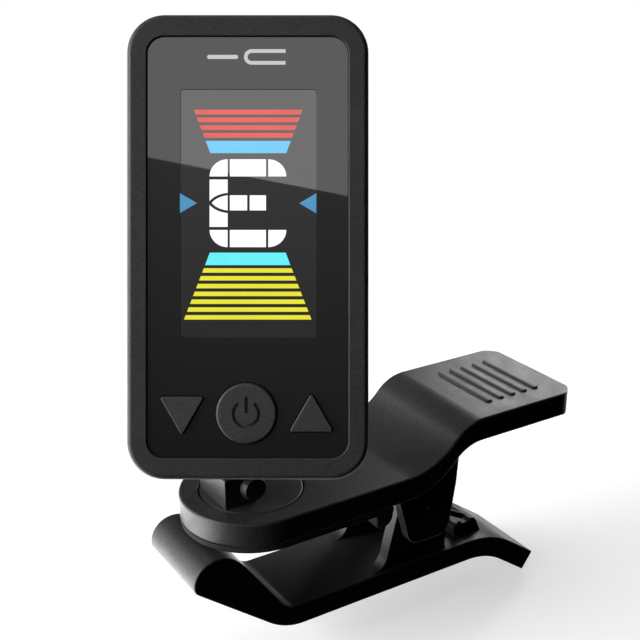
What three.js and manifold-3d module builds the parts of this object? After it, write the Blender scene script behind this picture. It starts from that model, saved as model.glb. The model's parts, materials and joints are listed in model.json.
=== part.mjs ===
import * as THREE from 'three';
import * as BufferGeometryUtils from 'three/addons/utils/BufferGeometryUtils.js';
import Module from 'manifold-3d';

// Clip-on instrument tuner. Millimetres. +X runs from the jaw's nose to the thumb levers,
// +Y across the clip, +Z up. The origin is on the lower jaw's seat, where a headstock rests.

// Clip
const LOWER_PLATE = 2.8;
const UPPER_PLATE = 3.05;
const LOWER_WIDTH = 11.6;
const UPPER_WIDTH = 16.9;
const ARM_TOP = 14.0;
const ARM_BOTTOM = ARM_TOP - UPPER_PLATE;
const STEP = { x: 8, low: 10, high: 5.4, angle: 48 };
const LEVER_END = 34.9;
const PIVOT = { x: 12.2, z: 8.2 };
const PIVOT_R = 0.8;
const EAR_OUTER = 7.9;
const EAR_THICK = 1.4;
const WALL_OUTER = 5.3;
const WALL_THICK = 1.7;
const PAD_THICK = 0.7;
const PAD_END = 6.3;
const COIL = { r: 1.85, wire: 0.42, turns: 5, pitch: 1.08, y: -2.7 };
const WASHER = { r: 1.5, hole: 0.86, thick: 0.9, y: 5.9 };
const GRIP = { count: 5, x: 23.2, pitch: 1.9, width: 0.9, length: 10.5, low: 18.9, high: 19.35 };

// Swivel and hinge
const SWIVEL_X = -8.25;
const ROUND_END_R = UPPER_WIDTH / 2;
const DISC_R = 6.1;
const DISC_THICK = 1.15;
const NECK_R = 4.4;
const CHEEK_OUTER = 3.2;
const CHEEK_FRONT = -13.3;
const CHEEK_INNER = 1.6;
const CHEEK_EYE_R = 1.6;
const HINGE = { x: -9.9, z: 16.05 };
const HINGE_R = 0.8;

// Head, in its own frame: x to the right, y up, z out of the display. Origin on the front rim.
const HEAD_W = 24.95;
const HEAD_H = 48.0;
const HEAD_D = 8.3;
const HEAD_CORNER = 3.9;
const HEAD_WALL = 1.2;
const HEAD_YAW = -32.2;
const HEAD_LEAN = 21.1;
const HEAD_POS = [-10.28, -4.27, 44.66];
const SPLIT = -4.6;
const WINDOW_W = 20.8;
const WINDOW_H = 43.5;
const WINDOW_CORNER = 1.8;
const LCD_Y = 3.45;
const LCD_W = 17.0;
const LCD_H = 28.0;
const LENS = { x: 0.1, w: 14.0, h: 25.6 };
const BATTERY_Y = 4.0;
const DOOR_Y = -8.4;
const POWER_R = 3.15;
const ARROW = { reach: 2.7, round: 0.22 };
const BUTTONS = {
  power: [-0.12, -17.15],
  down: [-6.75, -16.76],
  up: [6.6, -17.69],
};
const SCREW_X = 9.5;
const SCREW_Y = 21.0;
const POST_R = 1.5;

// Swivel neck: where its axis stands behind the head, and the way it leans
const NECK_POINT = [-7.7, 0, 23.7];

// Room left round the moving and the inset pieces
const PIVOT_PLAY = 0.08;
const HINGE_PLAY = 0.06;
const DISC_PLAY = 0.13;
const NECK_PLAY = 0.12;
const BUTTON_PLAY = 0.12;
const WINDOW_PLAY = 0.08;

const COLOURS = {
  shell: [0x2b2c2e, 0.62, 0],
  clip: [0x303133, 0.6, 0],
  gloss: [0x0b0b0d, 0.12, 0],
  glass: [0x2a2f33, 0.1, 0],
  rubber: [0x1c1c1d, 0.85, 0],
  button: [0x333437, 0.7, 0],
  steel: [0xa8abae, 0.35, 1],
  blackened: [0x1c1d1f, 0.45, 1],
  brass: [0xb99a55, 0.35, 1],
  board: [0x1f5a35, 0.5, 0],
  white: [0xe6e6e2, 0.5, 0],
  chip: [0x151515, 0.5, 0],
};

const wasm = await Module();
wasm.setup();

const rad = (degrees) => degrees * Math.PI / 180;
const STEP_END = STEP.x + (STEP.low + STEP.high) * Math.sin(rad(STEP.angle));
const LEVER_RISE = (STEP.low + STEP.high) * (1 - Math.cos(rad(STEP.angle)));

function toSolid(geometry) {
  const plain = geometry.clone();
  plain.deleteAttribute('normal');
  plain.deleteAttribute('uv');
  const merged = BufferGeometryUtils.mergeVertices(plain, 1e-4);
  return new wasm.Manifold(new wasm.Mesh({
    numProp: 3,
    vertProperties: new Float32Array(merged.attributes.position.array),
    triVerts: new Uint32Array(realTriangles(merged.index.array)),
  }));
}

// Where two curves of an outline meet, merged points leave slivers with a corner used twice.
function realTriangles(index) {
  const kept = [];
  for (let i = 0; i < index.length; i += 3) {
    const [a, b, c] = index.slice(i, i + 3);
    if (a !== b && b !== c && c !== a) kept.push(a, b, c);
  }
  return kept;
}

function toGeometry(solid) {
  const mesh = solid.getMesh();
  const geometry = new THREE.BufferGeometry();
  geometry.setAttribute('position', new THREE.BufferAttribute(mesh.vertProperties, 3));
  geometry.setIndex(new THREE.BufferAttribute(mesh.triVerts, 1));
  const flat = geometry.toNonIndexed();
  flat.computeVertexNormals();
  return flat;
}

const cut = (body, ...tools) => tools.reduce((left, tool) => left.subtract(tool), body);
const join = (...bodies) => bodies.reduce((left, body) => left.add(body));

function moved(geometry, x, y, z) {
  geometry.translate(x, y, z);
  return toSolid(geometry);
}

const box = (w, d, h, x, y, z) => moved(new THREE.BoxGeometry(w, d, h), x, y, z);

// Cylinder along an axis letter, centred on the point given.
function rod(axis, r, length, x, y, z, sides = 24) {
  const geometry = new THREE.CylinderGeometry(r, r, length, sides);
  if (axis === 'z') geometry.rotateX(Math.PI / 2);
  if (axis === 'x') geometry.rotateZ(Math.PI / 2);
  return moved(geometry, x, y, z);
}

// Turned part on an axis letter. Its profile is [radius, height] pairs from axis to axis.
function turned(axis, profile, x, y, z, sides = 32) {
  const points = profile.map(([r, h]) => new THREE.Vector2(r, h));
  const geometry = new THREE.LatheGeometry(points, sides);
  if (axis === 'z') geometry.rotateX(Math.PI / 2);
  return moved(geometry, x, y, z);
}

function roundedRect(w, h, r, x = 0, y = 0) {
  const left = x - w / 2;
  const right = x + w / 2;
  const low = y - h / 2;
  const high = y + h / 2;
  const shape = new THREE.Shape();
  shape.moveTo(left + r, low);
  shape.lineTo(right - r, low);
  shape.absarc(right - r, low + r, r, -Math.PI / 2, 0, false);
  shape.lineTo(right, high - r);
  shape.absarc(right - r, high - r, r, 0, Math.PI / 2, false);
  shape.lineTo(left + r, high);
  shape.absarc(left + r, high - r, r, Math.PI / 2, Math.PI, false);
  shape.lineTo(left, low + r);
  shape.absarc(left + r, low + r, r, Math.PI, 1.5 * Math.PI, false);
  return shape;
}

// Plan outline pulled up from low to high, with its edges eased by the round.
function prism(shape, low, high, round = 0, segments = 4) {
  const geometry = new THREE.ExtrudeGeometry(shape, {
    depth: high - low - 2 * round,
    curveSegments: segments,
    bevelEnabled: round > 0,
    bevelThickness: round,
    bevelSize: round,
    bevelOffset: -round,
    bevelSegments: 1,
  });
  return moved(geometry, 0, 0, low + round);
}

// Side outline in X and Z, pulled across from one Y to another.
function slab(shape, from, to, round = 0, segments = 6) {
  const geometry = new THREE.ExtrudeGeometry(shape, {
    depth: to - from - 2 * round,
    curveSegments: segments,
    bevelEnabled: round > 0,
    bevelThickness: round,
    bevelSize: round,
    bevelOffset: -round,
    bevelSegments: 1,
  });
  geometry.rotateX(Math.PI / 2);
  return moved(geometry, 0, to - round, 0);
}

function lowerOutline() {
  const bend = { x: 20.4, z: -12.3, r: 12.3, angle: rad(35.5) };
  const end = { x: 31.75, z: -5.32 };
  const shape = new THREE.Shape();
  shape.moveTo(-5.9, 0);
  shape.lineTo(bend.x, 0);
  shape.absarc(bend.x, bend.z, bend.r, Math.PI / 2, Math.PI / 2 - bend.angle, true);
  shape.lineTo(end.x, end.z);
  shape.lineTo(end.x - LOWER_PLATE * Math.sin(bend.angle), end.z - LOWER_PLATE * Math.cos(bend.angle));
  shape.absarc(bend.x, bend.z, bend.r - LOWER_PLATE, Math.PI / 2 - bend.angle, Math.PI / 2, false);
  shape.lineTo(-4.6, -LOWER_PLATE);
  shape.quadraticCurveTo(-7.2, -LOWER_PLATE, -9.4, -1.05);
  shape.lineTo(-18.2, 5.9);
  shape.quadraticCurveTo(-18.75, 6.3, -18.75, 7.0);
  shape.absarc(-15.95, 7.0, 2.8, Math.PI, Math.PI / 2, true);
  shape.quadraticCurveTo(-13.8, 9.8, -12.0, 7.3);
  shape.lineTo(-7.6, 1.0);
  shape.quadraticCurveTo(-6.9, 0, -5.9, 0);
  return shape;
}

function wallOutline() {
  const shape = new THREE.Shape();
  shape.moveTo(5.4, -1);
  shape.lineTo(5.6, -0.1);
  shape.quadraticCurveTo(7.3, 0.1, 7.75, 1.8);
  shape.lineTo(9.55, 8.9);
  shape.absarc(PIVOT.x, PIVOT.z, 2.6, rad(165), rad(8), true);
  shape.quadraticCurveTo(15.2, 5.2, 16.8, 3.4);
  shape.lineTo(16.8, 0.6);
  shape.quadraticCurveTo(16.9, 0.1, 17.5, -1);
  return shape;
}

function springRestOutline() {
  const shape = new THREE.Shape();
  shape.moveTo(19.6, -1);
  shape.lineTo(19.6, 0.95);
  shape.quadraticCurveTo(19.7, 1.45, 20.25, 1.45);
  shape.lineTo(22.05, 1.45);
  shape.lineTo(22.2, 1.85);
  shape.lineTo(23.0, 1.65);
  shape.quadraticCurveTo(23.6, 1.0, 24.45, -1.5);
  return shape;
}

function makeLowerJaw() {
  const half = LOWER_WIDTH / 2;
  const inner = WALL_OUTER - WALL_THICK;
  const body = join(
    slab(lowerOutline(), -half, half, 0.2),
    slab(wallOutline(), -WALL_OUTER, -inner, 0.12, 6),
    slab(wallOutline(), inner, WALL_OUTER, 0.12, 6),
    slab(springRestOutline(), -3.6, 3.6, 0.12, 4),
  );
  return cut(body, rod('y', PIVOT_R + PIVOT_PLAY, 20, PIVOT.x, 0, PIVOT.z));
}

// The arm, its step up and the thumb lever: one curve above and the same curve below.
function armOutline() {
  const quarter = Math.PI / 2;
  const turn = rad(STEP.angle);
  const rise = (shape, z) => {
    shape.absarc(STEP.x, z + STEP.low, STEP.low, -quarter, turn - quarter, false);
    shape.absarc(STEP_END, z + LEVER_RISE - STEP.high, STEP.high, quarter + turn, quarter, true);
  };
  const fall = (shape, z) => {
    shape.absarc(STEP_END, z + LEVER_RISE - STEP.high, STEP.high, quarter, quarter + turn, false);
    shape.absarc(STEP.x, z + STEP.low, STEP.low, turn - quarter, -quarter, true);
  };
  const front = SWIVEL_X - ROUND_END_R - 1;
  const shape = new THREE.Shape();
  shape.moveTo(front, ARM_BOTTOM);
  shape.lineTo(front, ARM_TOP);
  shape.lineTo(STEP.x, ARM_TOP);
  rise(shape, ARM_TOP);
  shape.lineTo(LEVER_END, ARM_TOP + LEVER_RISE);
  shape.lineTo(LEVER_END, ARM_BOTTOM + LEVER_RISE + 0.6);
  shape.quadraticCurveTo(LEVER_END, ARM_BOTTOM + LEVER_RISE, LEVER_END - 0.8, ARM_BOTTOM + LEVER_RISE);
  shape.lineTo(STEP_END, ARM_BOTTOM + LEVER_RISE);
  fall(shape, ARM_BOTTOM);
  return shape;
}

function earOutline() {
  const shape = new THREE.Shape();
  shape.moveTo(7.4, 12.0);
  shape.lineTo(7.45, 11.0);
  shape.lineTo(8.95, 5.4);
  shape.quadraticCurveTo(9.4, 4.4, 10.6, 4.35);
  shape.lineTo(13.4, 4.35);
  shape.quadraticCurveTo(14.9, 4.5, 15.25, 6.0);
  shape.lineTo(16.05, 11.2);
  shape.lineTo(16.4, 16.2);
  shape.lineTo(13.2, 14.2);
  return shape;
}

// Seen from above: a half-round front end on straight sides.
function armPlan(half, rear) {
  const shape = new THREE.Shape();
  shape.moveTo(SWIVEL_X, -half);
  shape.lineTo(rear, -half);
  shape.lineTo(rear, half);
  shape.lineTo(SWIVEL_X, half);
  shape.absarc(SWIVEL_X, 0, half, Math.PI / 2, 1.5 * Math.PI, false);
  return shape;
}

// Raised bars across the lever for the thumb.
function grips() {
  const bars = [];
  for (let i = 0; i < GRIP.count; i++) {
    const plan = roundedRect(GRIP.width, GRIP.length, 0.4, GRIP.x + i * GRIP.pitch, 0);
    bars.push(prism(plan, GRIP.low, GRIP.high, 0.12, 1));
  }
  return bars;
}

function makeUpperJaw() {
  const half = UPPER_WIDTH / 2;
  const front = prism(armPlan(half, 4), ARM_BOTTOM, ARM_TOP, 0.25, 14);
  const rear = prism(roundedRect(LEVER_END + 2, UPPER_WIDTH, 3, (LEVER_END - 2) / 2, 0), 5, 25);
  const arm = slab(armOutline(), -half, half, 0.25, 6).intersect(join(front, rear));
  const ear = (from, to) => slab(earOutline(), from, to, 0.12, 4);
  const body = join(
    arm,
    ear(-EAR_OUTER, EAR_THICK - EAR_OUTER),
    ear(EAR_OUTER - EAR_THICK, EAR_OUTER),
    ...grips(),
  );
  return cut(
    body,
    rod('y', PIVOT_R + PIVOT_PLAY, 20, PIVOT.x, 0, PIVOT.z),
    rod('z', DISC_R + DISC_PLAY, 3, SWIVEL_X, 0, ARM_TOP - DISC_THICK - 0.05 + 1.5, 48),
    rod('z', NECK_R + NECK_PLAY, 6, SWIVEL_X, 0, ARM_TOP - 2, 20),
    rod('z', 5.8, 2.7, SWIVEL_X, 0, ARM_BOTTOM, 20),
  );
}

function makeJawPad() {
  const top = ARM_BOTTOM - 0.05;
  const bumper = new THREE.Shape();
  bumper.moveTo(3.9, top);
  bumper.lineTo(3.95, 8.8);
  bumper.quadraticCurveTo(4.1, 8.45, 4.7, 8.4);
  bumper.quadraticCurveTo(6.3, 8.6, PAD_END, 10.0);
  bumper.lineTo(PAD_END, top);
  const half = UPPER_WIDTH / 2 - 0.1;
  return join(
    prism(armPlan(half, PAD_END), top - PAD_THICK, top, 0.1, 14),
    slab(bumper, -half, half, 0.15, 4),
  );
}

function makeDisc() {
  const base = ARM_TOP - DISC_THICK;
  const profile = [[0, base - 0.55], [NECK_R, base - 0.55], [NECK_R, base], [DISC_R, base],
    [DISC_R, ARM_TOP - 0.2], [DISC_R - 0.2, ARM_TOP], [0, ARM_TOP]];
  const cheek = new THREE.Shape();
  cheek.moveTo(CHEEK_FRONT, ARM_TOP - 0.4);
  cheek.lineTo(-9.3, ARM_TOP - 0.4);
  cheek.lineTo(-9.2, ARM_TOP + 0.45);
  cheek.absarc(HINGE.x, HINGE.z, CHEEK_EYE_R, rad(-50), Math.PI / 2, false);
  cheek.lineTo(CHEEK_FRONT + 0.3, HINGE.z + CHEEK_EYE_R);
  cheek.quadraticCurveTo(CHEEK_FRONT, HINGE.z + CHEEK_EYE_R, CHEEK_FRONT, HINGE.z + CHEEK_EYE_R - 0.35);
  const clevis = cut(
    slab(cheek, -CHEEK_OUTER, CHEEK_OUTER, 0.12, 6),
    box(8, 2 * CHEEK_INNER, 8, -8.3, 0, ARM_TOP + 4.001),
  );
  return cut(
    join(turned('z', profile, SWIVEL_X, 0, 0, 48), clevis),
    rod('y', HINGE_R + HINGE_PLAY, 8, HINGE.x, 0, HINGE.z),
    rod('z', 0.75, 2.2, SWIVEL_X, 0, base - 0.2, 16),
  );
}

// A tapered head at each end stands on the cheek.
function makeHingePin() {
  const inner = CHEEK_OUTER + 0.05;
  const end = (sign, boss) => [[HINGE_R, sign * inner], [1.58, sign * inner],
    [1.34, sign * (boss - 0.12)], [1.2, sign * boss], [0, sign * boss]];
  const profile = [...end(-1, 4.2).reverse(), ...end(1, 4.1)];
  return turned('y', profile, HINGE.x, 0, HINGE.z, 28);
}

const neckAxis = new THREE.Vector3(NECK_POINT[0] - HINGE.x, 0, NECK_POINT[2] - HINGE.z).normalize();
const neckTurn = new THREE.Quaternion().setFromUnitVectors(new THREE.Vector3(0, 0, 1), neckAxis);

// Geometry built upright about the neck's axis, then leaned and put at the neck point.
function onNeck(geometry) {
  geometry.applyQuaternion(neckTurn);
  return moved(geometry, ...NECK_POINT);
}

function neckRod(r, low, high, sides = 20) {
  const geometry = new THREE.CylinderGeometry(r, r, high - low, sides);
  geometry.rotateX(Math.PI / 2);
  geometry.translate(0, 0, (high + low) / 2);
  return onNeck(geometry);
}

function makeNeck() {
  const eye = rod('y', 1.75, 2 * CHEEK_INNER - 0.2, HINGE.x, 0, HINGE.z, 28);
  const body = join(
    eye,
    neckRod(1.3, -7.2, 3.3),
    neckRod(2.3, -4.3, -3.35),
  );
  return cut(body, rod('y', HINGE_R + HINGE_PLAY, 8, HINGE.x, 0, HINGE.z));
}

function makeNeckClip() {
  return cut(neckRod(2.1, 3.4, 3.9), neckRod(0.9, 3.0, 4.2, 12));
}

// Head pieces are made in the head's frame and turned with the group.
const headTurn = new THREE.Quaternion().setFromRotationMatrix(headBasis());
const toHead = headTurn.clone().invert();

function headBasis() {
  const yaw = rad(HEAD_YAW);
  const lean = rad(HEAD_LEAN);
  const right = new THREE.Vector3(Math.cos(yaw), Math.sin(yaw), 0);
  const out = new THREE.Vector3(
    Math.sin(yaw) * Math.cos(lean), -Math.cos(yaw) * Math.cos(lean), Math.sin(lean));
  const up = new THREE.Vector3().crossVectors(out, right);
  return new THREE.Matrix4().makeBasis(right, up, out);
}

const neckInHead = new THREE.Vector3(...NECK_POINT).sub(new THREE.Vector3(...HEAD_POS))
  .applyQuaternion(toHead);
const axisInHead = neckAxis.clone().applyQuaternion(toHead);
const barrelTurn = new THREE.Quaternion().setFromUnitVectors(new THREE.Vector3(0, 0, 1), axisInHead);

function barrelRod(r, low, high, sides = 28) {
  const geometry = new THREE.CylinderGeometry(r, r, high - low, sides);
  geometry.rotateX(Math.PI / 2);
  geometry.translate(0, 0, (high + low) / 2);
  geometry.applyQuaternion(barrelTurn);
  return moved(geometry, neckInHead.x, neckInHead.y, neckInHead.z);
}

const headPrism = (w, h, r, low, high, round = 0, x = 0, y = 0) =>
  prism(roundedRect(w, h, r, x, y), low, high, round);

function buttonOutline(kind, grow = 0) {
  const [x, y] = BUTTONS[kind];
  const shape = new THREE.Shape();
  if (kind === 'power') {
    shape.absarc(x, y, POWER_R + grow, 0, 2 * Math.PI, false);
    return shape;
  }
  const turn = kind === 'down' ? -Math.PI / 2 : Math.PI / 2;
  const r = ARROW.round + grow;
  const reach = ARROW.reach - 2 * ARROW.round;
  const third = Math.PI / 3;
  for (let i = 0; i < 3; i++) {
    const a = turn + 2 * i * third;
    shape.absarc(x + reach * Math.cos(a), y + reach * Math.sin(a), r, a - third, a + third, false);
  }
  return shape;
}

function buttonHoles(low, high) {
  return Object.keys(BUTTONS).map((kind) => (
    prism(buttonOutline(kind, BUTTON_PLAY), low, high, 0, kind === 'power' ? 14 : 3)));
}

const screwSpots = [[-1, 1], [1, 1], [-1, -1], [1, -1]].map(([x, y]) => [x * SCREW_X, y * SCREW_Y]);

function makeFrontCase() {
  const inner = [HEAD_W - 2 * HEAD_WALL, HEAD_H - 2 * HEAD_WALL, HEAD_CORNER - HEAD_WALL];
  const shell = cut(
    headPrism(HEAD_W, HEAD_H, HEAD_CORNER, SPLIT, 0, 0.3),
    headPrism(...inner, SPLIT - 1, -1.75),
    headPrism(WINDOW_W, WINDOW_H, WINDOW_CORNER, -1.08, 1),
    headPrism(LCD_W + 0.4, LCD_H + 0.4, 0.4, -3, 0, 0, 0, LCD_Y),
    ...buttonHoles(-3, 0),
  );
  const posts = screwSpots.map(([x, y]) => rod('z', POST_R, 3.0, x, y, SPLIT + 1.55, 12));
  const holes = screwSpots.map(([x, y]) => rod('z', 0.74, 2.6, x, y, SPLIT + 1.2, 10));
  return cut(join(shell, ...posts), ...holes);
}

function makeRearCover() {
  const back = -HEAD_D;
  const inner = [HEAD_W - 2 * HEAD_WALL, HEAD_H - 2 * HEAD_WALL, HEAD_CORNER - HEAD_WALL];
  const doorBay = box(HEAD_W + 2, HEAD_H, 2, 0, DOOR_Y + HEAD_H / 2, back + 0.85 - 1);
  const shell = cut(
    headPrism(HEAD_W, HEAD_H, HEAD_CORNER, back, SPLIT - 0.06, 0.3),
    headPrism(...inner, back + 1.3, SPLIT + 1),
    doorBay,
    rod('z', 10.3, 6, 0, BATTERY_Y, back, 32),
  );
  const pedestal = box(4.6, 4.8, 4.4, neckInHead.x, neckInHead.y, back - 1.8);
  const barrel = barrelRod(2.9, -3.2, 3.2, 28);
  const body = join(shell, cut(pedestal, box(20, 20, 6, 0, neckInHead.y, back + 3.3)), barrel);
  const posts = screwSpots.map(([x, y]) => rod('z', POST_R, 2.0, x, y, back + 2.05, 12));
  const holes = screwSpots.map(([x, y]) => rod('z', 0.9, 12, x, y, back + 2, 12));
  const sinks = screwSpots.map(([x, y]) => rod('z', 1.45, 3, x, y, back - 0.1, 16));
  return cut(join(body, ...posts), ...holes, ...sinks, barrelRod(1.38, -5, 5));
}

function makeBatteryDoor() {
  const back = -HEAD_D;
  const plan = headPrism(HEAD_W, HEAD_H, HEAD_CORNER, back, back + 0.8, 0.2);
  const lower = box(HEAD_W + 2, HEAD_H, 4, 0, DOOR_Y + 0.1 - HEAD_H / 2, back);
  const ribs = [];
  for (let i = 0; i < 4; i++) {
    ribs.push(prism(roundedRect(7, 0.6, 0.25, 0, DOOR_Y + 2.4 + i * 1.3), back - 0.18, back + 0.3, 0, 3));
  }
  return join(cut(plan, lower), ...ribs);
}

function makeWindow() {
  const panel = headPrism(WINDOW_W - 2 * WINDOW_PLAY, WINDOW_H - 2 * WINDOW_PLAY,
    WINDOW_CORNER - WINDOW_PLAY, -1.0, -0.35, 0.08);
  const opening = headPrism(LENS.w + 0.2, LENS.h + 0.2, 0.3, -2, 1, 0, LENS.x, LCD_Y);
  return cut(panel, opening, ...buttonHoles(-2, 1));
}

function makeBoard() {
  const board = headPrism(21.8, 44.8, 2.4, -3.8, -3.1);
  const notches = screwSpots.map(([x, y]) => rod('z', POST_R + 0.25, 3, x, y, -3.5, 16));
  return cut(board, ...notches);
}

function makeButton(kind) {
  const [x, y] = BUTTONS[kind];
  const segments = kind === 'power' ? 14 : 3;
  const cap = prism(buttonOutline(kind), -1.9, 0.12, 0.12, segments);
  const flange = prism(buttonOutline(kind, 0.42), -2.35, -1.85, 0, kind === 'power' ? 8 : 2);
  const body = join(cap, flange, rod('z', 0.8, 0.3, x, y, -2.45, 12));
  if (kind !== 'power') return body;
  const ring = new THREE.Shape();
  ring.absarc(x, y, 1.5, rad(125), rad(415), false);
  ring.absarc(x, y, 1.12, rad(415), rad(125), true);
  const mark = join(prism(ring, -0.05, 0.4, 0, 10), box(0.36, 1.75, 0.45, x, y + 0.9, 0.175));
  return cut(body, mark);
}

function makeScrew(x, y) {
  const back = -HEAD_D;
  const profile = [[0, back + 0.9], [1.25, back + 0.9], [1.25, back + 1.35], [0.65, back + 1.35],
    [0.65, -2.35], [0, -2.35]];
  const body = turned('z', profile, x, y, 0, 12);
  return cut(body, box(0.3, 1.5, 0.5, x, y, back + 0.9), box(1.5, 0.3, 0.5, x, y, back + 0.9));
}

// Torsion spring: a leg down to the lower jaw's rest, the turns, a leg up under the lever.
function coil() {
  const points = [
    new THREE.Vector3(PIVOT.x + 9.3, COIL.y, 2.0),
    new THREE.Vector3(PIVOT.x + 4.6, COIL.y, 4.57),
  ];
  for (let i = 0; i <= COIL.turns * 12; i++) {
    const a = rad(-60) + i * rad(30);
    const y = COIL.y + i * COIL.pitch / 12;
    points.push(new THREE.Vector3(PIVOT.x + COIL.r * Math.cos(a), y, PIVOT.z + COIL.r * Math.sin(a)));
  }
  points.push(new THREE.Vector3(PIVOT.x + 6.4, COIL.y + COIL.turns * COIL.pitch, 15.0));
  const path = new THREE.CatmullRomCurve3(points, false, 'chordal');
  const section = new THREE.Shape();
  section.absarc(0, 0, COIL.wire, 0, 2 * Math.PI, false);
  return toSolid(new THREE.ExtrudeGeometry(section, {
    steps: 96, curveSegments: 3, bevelEnabled: false, extrudePath: path }));
}

function makePivotPin() {
  const profile = [[0, -8.05], [0.62, -8.05], [PIVOT_R, -7.9], [PIVOT_R, 7.9], [0.62, 8.05], [0, 8.05]];
  return turned('y', profile, PIVOT.x, 0, PIVOT.z, 24);
}

function makeDiscScrew() {
  const profile = [[0, 11.25], [1.5, 11.25], [1.5, 11.7], [0.68, 11.7], [0.68, 13.2], [0, 13.2]];
  const body = turned('z', profile, SWIVEL_X, 0, 0, 20);
  return cut(body, box(0.35, 2, 0.4, SWIVEL_X, 0, 11.25));
}

const group = new THREE.Group();
group.name = 'clip_on_tuner';
const head = new THREE.Group();
head.name = 'head';
head.position.set(...HEAD_POS);
head.quaternion.copy(headTurn);
group.add(head);

function add(parent, name, look, solid) {
  const [color, roughness, metalness] = COLOURS[look];
  const material = new THREE.MeshStandardMaterial({ color, roughness, metalness });
  const mesh = new THREE.Mesh(toGeometry(solid), material);
  mesh.name = name;
  parent.add(mesh);
}

add(group, 'lower_jaw', 'clip', makeLowerJaw());
add(group, 'upper_jaw', 'clip', makeUpperJaw());
add(group, 'jaw_pad', 'rubber', makeJawPad());
add(group, 'pivot_pin', 'blackened', makePivotPin());
add(group, 'torsion_spring', 'steel', coil());
for (const [side, y] of [['near', -1], ['far', 1]]) {
  const ring = rod('y', WASHER.r, WASHER.thick, PIVOT.x, y * WASHER.y, PIVOT.z, 20);
  const washer = cut(ring, rod('y', WASHER.hole, 3, PIVOT.x, y * WASHER.y, PIVOT.z, 16));
  add(group, `pivot_washer_${side}`, 'steel', washer);
}

add(group, 'swivel_disc', 'clip', makeDisc());
add(group, 'swivel_retainer', 'steel',
  cut(rod('z', 5.6, 0.45, SWIVEL_X, 0, 12.0, 20), rod('z', 0.8, 2, SWIVEL_X, 0, 12, 12)));
add(group, 'swivel_screw', 'steel', makeDiscScrew());
add(group, 'hinge_pin', 'clip', makeHingePin());
add(group, 'neck', 'clip', makeNeck());
add(group, 'neck_clip', 'steel', makeNeckClip());

add(head, 'front_case', 'shell', makeFrontCase());
add(head, 'rear_cover', 'shell', makeRearCover());
add(head, 'battery_door', 'shell', makeBatteryDoor());
add(head, 'display_window', 'gloss', makeWindow());
add(head, 'display_lens', 'glass', headPrism(LENS.w, LENS.h, 0.25, -0.95, -0.4, 0, LENS.x, LCD_Y));
add(head, 'lcd_panel', 'glass', headPrism(LCD_W, LCD_H, 0.2, -2.3, -1.15, 0, 0, LCD_Y));
add(head, 'lcd_backlight', 'white', headPrism(LCD_W, LCD_H - 1, 0.2, -2.9, -2.4, 0, 0, LCD_Y));
add(head, 'lcd_connector', 'rubber', box(15.0, 1.0, 0.55, 0, LCD_Y - 15.2, -2.75));
add(head, 'main_board', 'board', makeBoard());
add(head, 'tuner_chip', 'chip', box(6.0, 6.0, 0.7, -5.5, -12.2, -4.2));
add(head, 'piezo_sensor', 'brass', rod('z', 3.6, 0.3, 5.0, -13.5, -6.8, 24));
add(head, 'crystal', 'steel', headPrism(1.6, 3.8, 0.7, -4.6, -3.85, 0, 1.6, -11.5));
add(head, 'coin_battery', 'steel', turned('z', [[0, -7.3], [9.8, -7.3], [10, -7.1], [10, -4.75],
  [9.0, -4.5], [8.9, -4.25], [0, -4.25]], 0, BATTERY_Y, 0, 28));
add(head, 'battery_contact_minus', 'brass', headPrism(5.0, 12.0, 0.5, -4.15, -3.9, 0, 0, BATTERY_Y));
add(head, 'battery_contact_plus', 'brass', box(6.0, 0.3, 3.0, 0, BATTERY_Y + 10.6, -5.4));
for (const kind of Object.keys(BUTTONS)) {
  add(head, `${kind}_button`, 'button', makeButton(kind));
  const dome = [[0, -3.05], [1.7, -3.05], [1.6, -2.98], [0.9, -2.88], [0, -2.85]];
  add(head, `${kind}_dome`, 'steel', turned('z', dome, ...BUTTONS[kind], 0, 12));
}
screwSpots.forEach(([x, y], i) => add(head, `case_screw_${i + 1}`, 'steel', makeScrew(x, y)));

export default group;
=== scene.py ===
import json
import math

import bmesh
import bpy
from mathutils import Matrix, Vector


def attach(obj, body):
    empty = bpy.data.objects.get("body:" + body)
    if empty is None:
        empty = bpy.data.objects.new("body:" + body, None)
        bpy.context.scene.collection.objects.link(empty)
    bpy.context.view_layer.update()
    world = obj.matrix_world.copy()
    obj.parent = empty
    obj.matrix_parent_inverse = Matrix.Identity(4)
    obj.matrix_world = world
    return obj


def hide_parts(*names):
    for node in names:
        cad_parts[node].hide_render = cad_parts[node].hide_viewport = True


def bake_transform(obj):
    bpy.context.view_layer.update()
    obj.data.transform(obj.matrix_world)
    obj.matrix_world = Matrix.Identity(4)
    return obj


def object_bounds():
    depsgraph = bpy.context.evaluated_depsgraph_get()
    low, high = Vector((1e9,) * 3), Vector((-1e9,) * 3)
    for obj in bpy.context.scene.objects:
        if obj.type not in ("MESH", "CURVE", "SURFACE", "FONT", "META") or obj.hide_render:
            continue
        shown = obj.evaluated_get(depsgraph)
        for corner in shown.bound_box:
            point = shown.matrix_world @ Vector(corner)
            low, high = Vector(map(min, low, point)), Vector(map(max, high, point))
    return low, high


# A clip-on instrument tuner. Pieces are drawn in millimetres, then put in the shared frame in metres.

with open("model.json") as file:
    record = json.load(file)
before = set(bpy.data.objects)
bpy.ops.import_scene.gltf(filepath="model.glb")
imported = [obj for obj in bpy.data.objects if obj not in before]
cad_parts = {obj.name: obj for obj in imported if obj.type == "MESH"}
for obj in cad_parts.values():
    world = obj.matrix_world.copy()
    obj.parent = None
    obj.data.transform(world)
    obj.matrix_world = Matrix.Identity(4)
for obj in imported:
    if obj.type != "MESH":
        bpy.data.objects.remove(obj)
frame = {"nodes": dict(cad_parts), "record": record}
cad_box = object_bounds()
NODES = frame["nodes"]
MM = Matrix.Scale(0.001, 4)

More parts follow.
